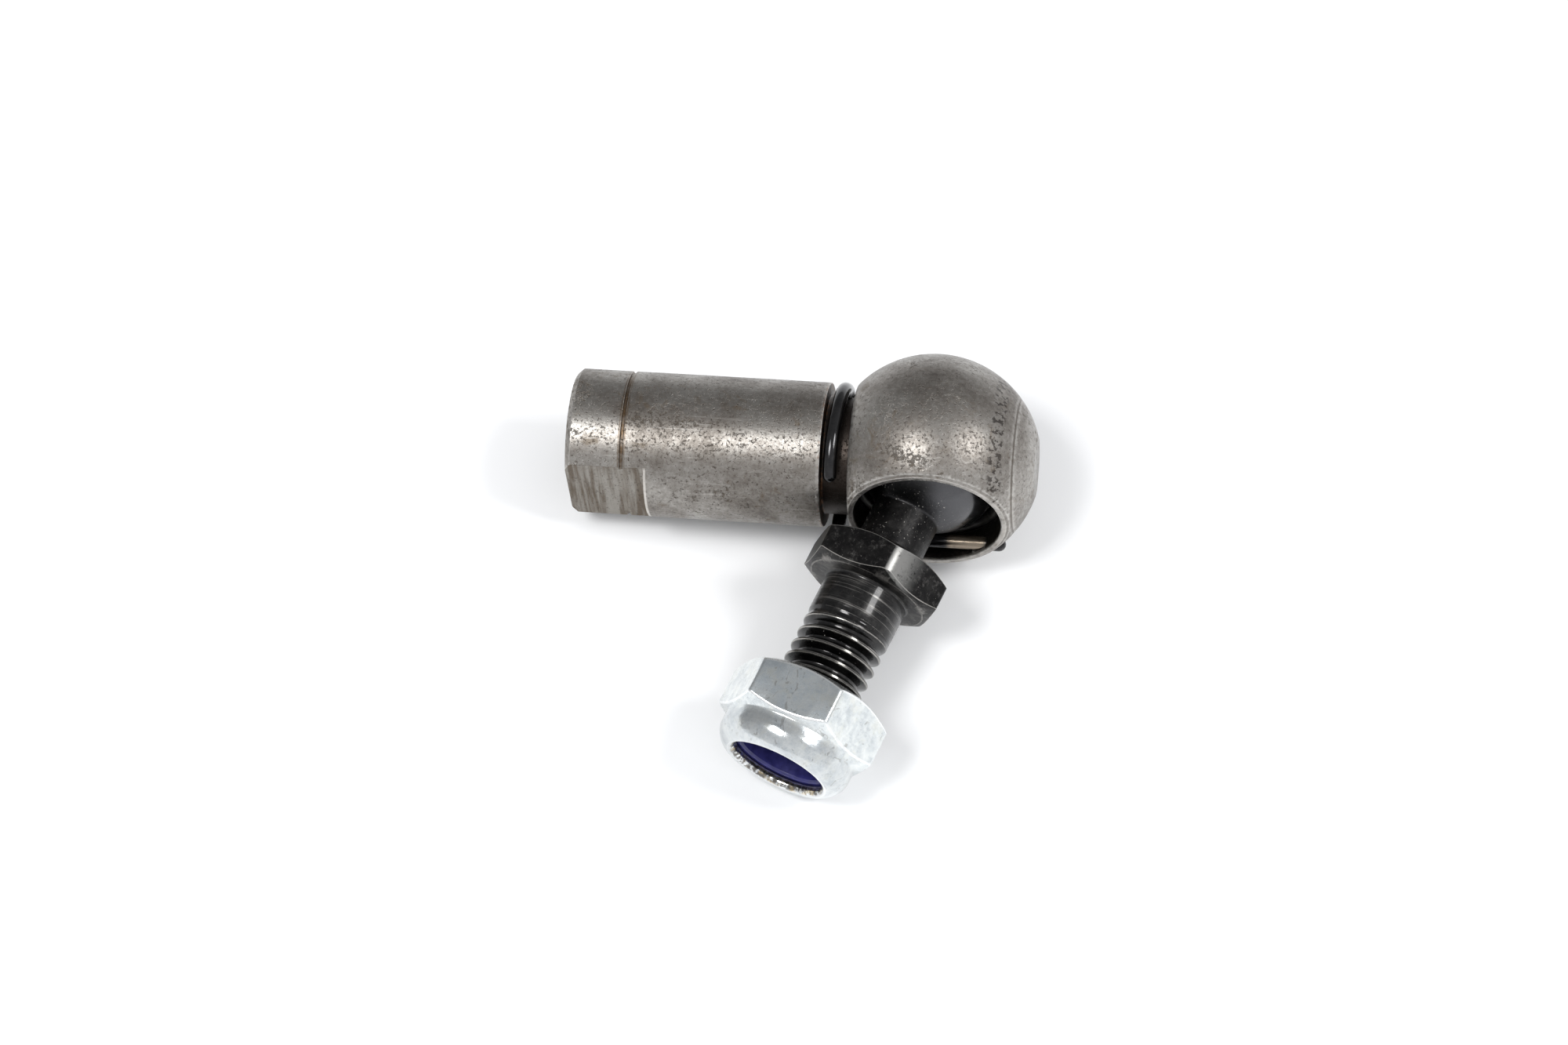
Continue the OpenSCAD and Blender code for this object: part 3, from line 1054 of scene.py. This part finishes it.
def black_oxide():
    """Blackened steel, glossy with oil, rubbed bright on its edges."""
    look = Look("black_oxide", ALONG_STUD)
    cloud = look.noise(0.8, 5, 0.65, twist=0.5)
    colour = look.ramp(cloud, OXIDE_SHADES)
    collar = look.band(look.z, (COLLAR_LOW + COLLAR_HIGH) / 2, 1.38, 0.06)
    ball = look.span(look.z, 4.2, 4.6, 1.0, 0.0)
    colour = look.tint(colour, ball, 0.9, BALL_GREY)

    # painted shade: the ball is darkened round one side of the neck
    shaded_side = look.times(look.span(look.z, 2.3, 3.5), look.span(look.toward(SHADE_SIDE), -0.9, 0.9))
    colour = look.mix(look.times(look.times(shaded_side, ball), 0.93), colour, BALL_SHADE_BLACK)
    rub = look.span(look.noise(1.9, 7, 0.8), 0.5, 0.7)
    rub = look.times(rub, look.blend(collar, 0.25, 0.8))
    colour = look.mix(rub, colour, OXIDE_RUBBED)
    edge = look.span(
        look.math("ADD", look.wear(), look.times(look.noise(4.0, 4, 0.7), 0.6)), 0.72, 1.2
    )
    colour = look.tint(colour, edge, 0.65, OXIDE_EDGE)

    # one flat of the collar is rubbed bright near its corner
    out = look.toward(COLLAR_SPIN - 30)
    along = look.toward(COLLAR_SPIN + 60)
    rubbed = look.times(look.span(out, 4.2, 4.3), look.span(along, -0.4, 1.9))
    rubbed = look.times(look.times(rubbed, collar), look.span(look.noise(2.2, 5, 0.7), 0.3, 0.5))
    colour = look.tint(colour, rubbed, 0.7, FACET_RUBBED)

    # dust that has stuck to the oily neck, and a little elsewhere
    neck = look.band(look.z, 5.6, 1.6, 1.2)
    dust = look.math("ADD", look.noise(6.4, 3, 0.6), look.times(neck, 0.05))
    dust = look.span(dust, 0.715, 0.75)
    colour = look.tint(colour, dust, 0.8, DUST)

    # turned rings on the plain part of the shank
    plain = look.band(look.z, 12.0, 1.1, 0.3)
    rings = look.noise(1.0, 4, 0.7, stretch=(0.15, 0.15, 6.5))
    bright = look.times(look.span(rings, 0.52, 0.66), plain)
    colour = look.tint(colour, bright, 0.6, TURNED_RING)
    rough = look.span(cloud, 0.3, 0.7, 0.13, 0.26)
    rough = look.blend(collar, rough, 0.36)
    rough = look.blend(neck, rough, 0.38)
    rough = look.blend(look.times(plain, 0.6), rough, 0.38)
    rough = look.blend(dust, rough, 0.8)
    metal = look.span(dust, 0.0, 1.0, 0.92, 0.1)
    normal = look.bump(look.noise(11.0, 4, 0.7), 0.12, 0.012)
    normal = look.bump(look.noise(2.4, 3, 0.5), 0.10, 0.03, normal)
    normal = look.bump(look.times(rings, plain), 0.5, 0.03, normal)
    pebbled = look.times(look.noise(5.0, 4, 0.7), neck)
    normal = look.bump(pebbled, 0.55, 0.04, normal)
    coat = look.blend(look.math("MAXIMUM", neck, collar), 0.35, 0.0)
    return look.surface(colour, rough, metal, normal, Coat_Weight=coat, Coat_Roughness=0.08)


ZINC_SHADES = [
    (0.36, (0.42, 0.46, 0.49)), (0.46, (0.56, 0.60, 0.62)),
    (0.55, (0.69, 0.72, 0.72)), (0.68, (0.80, 0.82, 0.80)),
]
ZINC_YELLOWED = (0.66, 0.64, 0.53)
ZINC_FRECKLE = (0.25, 0.28, 0.30)
# painted shade and painted light for the nut's flats
ZINC_SHADED = (0.34, 0.37, 0.39)
ZINC_LIT = (0.76, 0.785, 0.775)
ZINC_ROLLED = (0.48, 0.50, 0.51)
ZINC_SCUFF = (0.22, 0.21, 0.19)
ZINC_EDGE = (0.93, 0.94, 0.94)
LIP_DIRT = (0.05, 0.035, 0.02)
LIP_GOLD = (0.62, 0.50, 0.30)


def zinc_plate():
    """Bright zinc plating, clouded blue-grey and scuffed."""
    look = Look("zinc_plate", ALONG_STUD)
    cloud = look.noise(1.0, 8, 0.78, twist=0.15)
    colour = look.ramp(cloud, ZINC_SHADES)
    yellowed = look.span(look.noise(0.7, 5, 0.7), 0.5, 0.64)
    colour = look.tint(colour, yellowed, 0.35, ZINC_YELLOWED)
    freckle = look.span(look.noise(3.6, 6, 0.75), 0.53, 0.66)

    # painted shade on one flat and painted light on the other flats; the crown is burnished
    height = look.math("SUBTRACT", look.z, NUT_LOW)
    burnished = look.span(height, 3.9, 4.3)
    front = look.span(look.toward(NUT_SPIN + 30), 4.8, 4.97)
    freckle = look.times(freckle, look.blend(front, 0.4, 1.0))
    colour = look.tint(colour, freckle, 0.7, ZINC_FRECKLE)
    # painted shade: one flat is darkened
    colour = look.tint(colour, front, 0.35, ZINC_SHADED)
    # painted light: the other flats are paled, but not the crown
    plain = look.times(look.blend(front, 0.35, 0.0), look.blend(burnished, 1.0, 0.0))
    colour = look.mix(plain, colour, ZINC_LIT)
    colour = look.tint(colour, burnished, 0.45, ZINC_ROLLED)
    streak = look.span(look.noise(1.5, 3, 0.6, stretch=(1.0, 0.5, 0.6), twist=2.0), 0.62, 0.67)
    colour = look.tint(colour, streak, 0.45, ZINC_SCUFF)
    edge = look.span(look.wear(), 0.25, 0.8)
    colour = look.tint(colour, edge, 0.6, ZINC_EDGE)

    # the torn inner edge of the crown holds dark and golden dirt
    radius = look.length(look.x, look.y)
    lip = look.times(look.span(height, 5.2, 5.5), look.span(radius, 3.42, 3.56, 1.0, 0.0))
    grime = look.times(lip, look.span(look.noise(2.6, 4, 0.7), 0.4, 0.56))
    colour = look.tint(colour, grime, 0.85, LIP_DIRT)
    golden = look.times(lip, look.span(look.noise(1.1, 2), 0.5, 0.62))
    colour = look.tint(colour, golden, 0.5, LIP_GOLD)
    rough = look.span(cloud, 0.3, 0.7, 0.3, 0.17)
    rough = look.blend(look.times(freckle, 0.8), rough, 0.4)
    rough = look.blend(look.times(burnished, 0.6), rough, 0.13)
    normal = look.bump(look.noise(1.1, 3, 0.5), 0.2, 0.08)
    rolled = look.noise(0.5, 1, 0.4, stretch=(0.8, 0.8, 4.0))
    normal = look.bump(look.times(rolled, burnished), 0.3, 0.16, normal)
    normal = look.bump(look.noise(7.0, 4, 0.7), 0.16, 0.02, normal)
    return look.surface(colour, rough, 0.95, normal)


NYLON_SHADES = [(0.3, (0.012, 0.012, 0.075)), (0.7, (0.03, 0.028, 0.16))]
NYLON_EDGE = (0.16, 0.16, 0.36)


def blue_nylon():
    """Dark blue nylon, slightly milky."""
    look = Look("blue_nylon")
    cloud = look.noise(1.4, 4, 0.6)
    colour = look.ramp(cloud, NYLON_SHADES)
    edge = look.span(look.wear(), 0.2, 0.9)
    colour = look.tint(colour, edge, 0.35, NYLON_EDGE)
    rough = look.span(cloud, 0.3, 0.7, 0.3, 0.45)
    normal = look.bump(look.noise(5.0, 3, 0.6), 0.15, 0.02)
    return look.surface(colour, rough, 0.0, normal, Subsurface_Weight=0.05)


WIRE_SCUFF = (0.26, 0.24, 0.22)
# gold of the painted highlight on the catch's leg
LEG_HIGHLIGHT = (0.50, 0.40, 0.29)


def wire_finish(name, dark, light, gloss, leg_highlight=False):
    """Hard drawn spring wire with drawing lines and small scuffs."""
    look = Look(name)
    cloud = look.noise(1.2, 5, 0.65, twist=0.4)
    colour = look.ramp(cloud, [(0.3, dark), (0.7, light)])
    scuff = look.span(look.noise(2.2, 6, 0.75, stretch=(0.6, 2.0, 2.0)), 0.62, 0.74)
    colour = look.tint(colour, scuff, 0.35, WIRE_SCUFF)
    # painted highlight: a gold band along the leg inside the opening
    if leg_highlight:
        leg = look.times(look.band(look.x, 2.5, 1.0, 0.5), look.span(look.noise(1.3, 4), 0.3, 0.5))
        colour = look.tint(colour, leg, 0.4, LEG_HIGHLIGHT)
    rough = look.span(cloud, 0.3, 0.7, gloss, gloss + 0.14)
    normal = look.bump(look.noise(8.0, 3, 0.6), 0.12, 0.015)
    return look.surface(colour, rough, 0.9, normal, Coat_Weight=0.3, Coat_Roughness=0.1)


PAPER_SHADES = [(0.3, (0.93, 0.935, 0.945)), (0.7, (0.945, 0.95, 0.955))]


def floor_paper():
    """Plain white paper under the part."""
    look = Look("floor_paper")
    cloud = look.noise(0.02, 3, 0.5)
    colour = look.ramp(cloud, PAPER_SHADES)
    normal = look.bump(look.noise(1.5, 3, 0.5), 0.05, 0.02)
    return look.surface(colour, 0.8, 0.0, normal)


# ------------------------------------------------------------------- stage
# the part lies on the floor, whose upward direction in the CAD frame is UP
UP = Vector((0.0983, -0.0738, 0.9924)).normalized()
RIGHT = Vector((0.98878, 0.11995, -0.08902))
RIGHT = (RIGHT - UP * RIGHT.dot(UP)).normalized()
AWAY = UP.cross(RIGHT)
REST_HEIGHT = -7.40 * MM
CENTRE = Vector((-7, -7, -2)) * MM
FLOOR_SIDE = 1.6
FLOOR_STEPS = 48
FLOOR_SAG = 0.0002
SOFTBOXES = [  # name, direction, distance, width, height, watts
    ("softbox_left", (-0.42, -0.22, 0.89), 0.55, 0.17, 0.17, 1.6),
    ("softbox_right", (0.60, -0.1, 0.79), 0.6, 0.16, 0.17, 1.35),
]
BRIGHT_SIDE = (0.38, -0.85, -0.3)
WORLD_DARK, WORLD_BRIGHT = 0.32, 1.1
WORLD_COLOUR = (0.97, 0.98, 1.0, 1.0)

# the photograph's camera, found from the part's own outlines
CAMERA_AT = Vector((34.9505, -189.3578, 296.759)) * MM
CAMERA_RIGHT = Vector((0.99002386, 0.11893989, -0.07553841))
CAMERA_UP = Vector((-0.0608915, 0.84463387, 0.53187015))
CAMERA_BACK = Vector((0.12706287, -0.52196449, 0.84345012))
CAMERA_LENS = 117.83


def on_stage(right, away, up):
    """Direction given by what is right, away and up for the camera."""
    return (RIGHT * right + AWAY * away + UP * up).normalized()


def build_floor():
    """Gently uneven sheet that the part lies on."""
    side, steps = FLOOR_SIDE, FLOOR_STEPS
    verts, faces = [], []
    for i in range(steps + 1):
        for j in range(steps + 1):
            u, v = (i / steps - 0.5) * side, (j / steps - 0.5) * side
            sag = FLOOR_SAG * (noise.noise(Vector((u * 9, v * 9, 0))) - 1.2)
            at = UP * (REST_HEIGHT + sag * min(1.0, (abs(u) + abs(v)) * 8))
            verts.append((RIGHT * u + AWAY * v + at) / MM)
    for i in range(steps):
        for j in range(steps):
            a = i * (steps + 1) + j
            faces.append((a, a + steps + 1, a + steps + 2, a + 1))
    skin = Skin()
    skin.add(verts, faces)
    floor = skin.build("floor_sheet")
    floor.data.shade_smooth()
    if floor.data.polygons[0].normal.dot(UP) < 0:
        floor.data.flip_normals()
    floor.data.materials.append(floor_paper())


def softbox(name, side, distance, width, height, power):
    """Rectangular light that faces the part from one side of the stage."""
    direction = on_stage(*side)
    light = bpy.data.lights.new(name, "AREA")
    light.shape = "RECTANGLE"
    light.size = width
    light.size_y = height
    light.energy = power
    obj = bpy.data.objects.new(name, light)
    bpy.context.scene.collection.objects.link(obj)
    obj.location = CENTRE + direction * distance
    obj.rotation_mode = "QUATERNION"
    obj.rotation_quaternion = (-direction).to_track_quat("-Z", "Y")


def build_world():
    """White tent, brightest low down in front and to the right."""
    world = bpy.data.worlds.new("tent")
    world.use_nodes = True
    tree = world.node_tree
    back = tree.nodes["Background"]
    coords = tree.nodes.new("ShaderNodeTexCoord")
    dot = tree.nodes.new("ShaderNodeVectorMath")
    dot.operation = "DOT_PRODUCT"
    dot.inputs[1].default_value = on_stage(*BRIGHT_SIDE)
    tree.links.new(coords.outputs["Generated"], dot.inputs[0])
    ramp = tree.nodes.new("ShaderNodeMapRange")
    ramp.inputs["From Min"].default_value = -1.0
    ramp.inputs["From Max"].default_value = 1.0
    ramp.inputs["To Min"].default_value = WORLD_DARK
    ramp.inputs["To Max"].default_value = WORLD_BRIGHT
    tree.links.new(dot.outputs["Value"], ramp.inputs["Value"])
    tree.links.new(ramp.outputs[0], back.inputs["Strength"])
    back.inputs["Color"].default_value = WORLD_COLOUR
    bpy.context.scene.world = world


def build_camera():
    """Camera in the place the photograph was taken from."""
    data = bpy.data.cameras.new("camera")
    data.lens = CAMERA_LENS
    data.sensor_width = 36
    data.clip_start = 0.01
    data.clip_end = 10
    cam = bpy.data.objects.new("camera", data)
    bpy.context.scene.collection.objects.link(cam)
    turn = Matrix((CAMERA_RIGHT, CAMERA_UP, CAMERA_BACK)).transposed().to_4x4()
    cam.matrix_world = Matrix.Translation(CAMERA_AT) @ turn
    bpy.context.scene.camera = cam


# ---------------------------------------------------------------- assembly
def join(obj, body, node, material):
    """Gives a piece its finish and its body, and hides the CAD node that it stands for."""
    obj.data.materials.clear()
    obj.data.materials.append(material)
    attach(obj, body)
    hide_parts(node)


RING_FINISH = wire_finish("ring_wire", (0.06, 0.058, 0.055), (0.16, 0.155, 0.15), 0.3)
CATCH_FINISH = wire_finish(
    "catch_wire", (0.012, 0.012, 0.013), (0.036, 0.035, 0.036), 0.1, leg_highlight=True
)

join(build_socket(), "socket", "ball_socket", socket_steel())
join(build_snap_ring(), "retainer", "snap_ring", RING_FINISH)
join(build_catch(), "socket", "safety_catch", CATCH_FINISH)
join(build_stud(), "stud", "ball_stud", black_oxide())
join(build_nut(), "nut", "lock_nut", zinc_plate())
join(build_insert(), "nut_carrier", "nylon_insert", blue_nylon())

build_floor()
build_world()
for box in SOFTBOXES:
    softbox(*box)
build_camera()
bpy.context.scene.view_settings.view_transform = "Standard"
